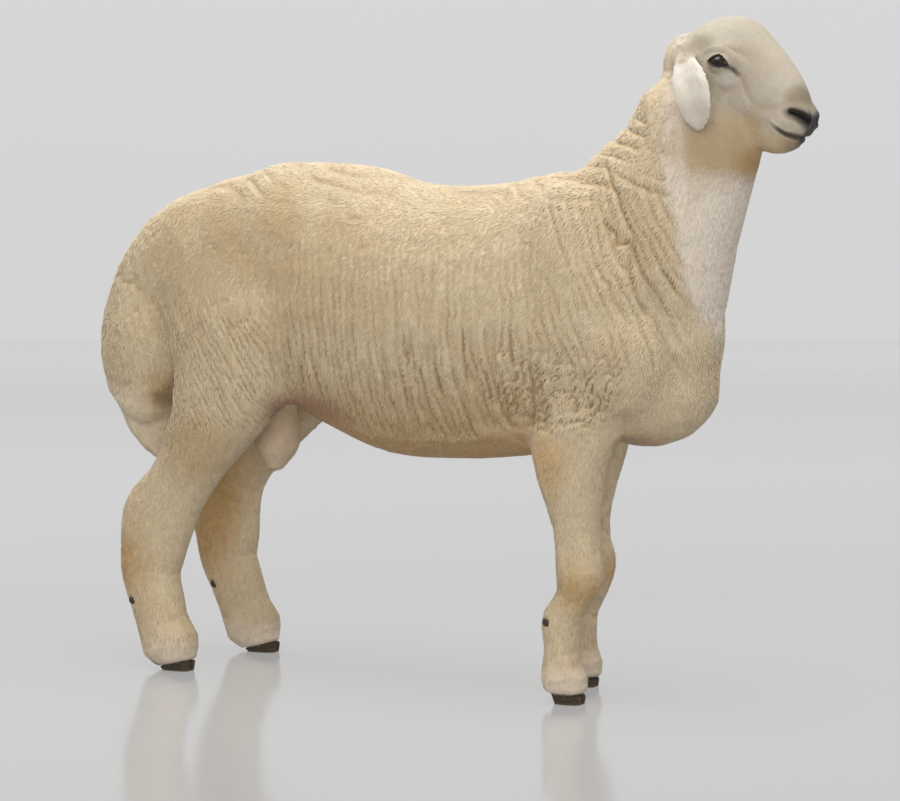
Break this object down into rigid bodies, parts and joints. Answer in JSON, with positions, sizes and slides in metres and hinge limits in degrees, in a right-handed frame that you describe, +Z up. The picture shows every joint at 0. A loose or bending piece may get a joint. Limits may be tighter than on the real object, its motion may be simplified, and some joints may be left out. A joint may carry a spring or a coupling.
{
  "type": "sheep",
  "caption": "Shorn polled ram with hanging ears, a Roman nose and a broad fat tail, standing square with its head up: a still, life-size museum figure.",
  "frame": {"origin": "middle of the underside of the whole figure's box, on the level that its claws stand on", "axes": "+X towards the muzzle, +Y to the ram's left, +Z up"},
  "size_m": [1.1376, 0.33, 0.9686],
  "materials": {
    "fleece": "matt shorn wool, in soft ridges",
    "hair": "short, close, matt hair",
    "horn": "dull dark claw horn",
    "eye": "wet dark brown eye"
  },
  "bodies": {
    "root": {"trunk": "fleece", "neck": "fleece", "tail": "fleece", "head": "hair", "scrotum": "hair", "foreleg_right": "hair", "foreleg_left": "hair", "hindleg_right": "hair", "hindleg_left": "hair", "ear_right": "hair", "ear_left": "hair", "eye_right": "eye", "eye_left": "eye", "foreclaw_right_inner": "horn", "foreclaw_right_outer": "horn", "foreclaw_left_inner": "horn", "foreclaw_left_outer": "horn", "hindclaw_right_inner": "horn", "hindclaw_right_outer": "horn", "hindclaw_left_inner": "horn", "hindclaw_left_outer": "horn", "foredewclaw_right_inner": "horn", "foredewclaw_right_outer": "horn", "foredewclaw_left_inner": "horn", "foredewclaw_left_outer": "horn", "hinddewclaw_right_inner": "horn", "hinddewclaw_right_outer": "horn", "hinddewclaw_left_inner": "horn", "hinddewclaw_left_outer": "horn"}
  },
  "joints": []
}
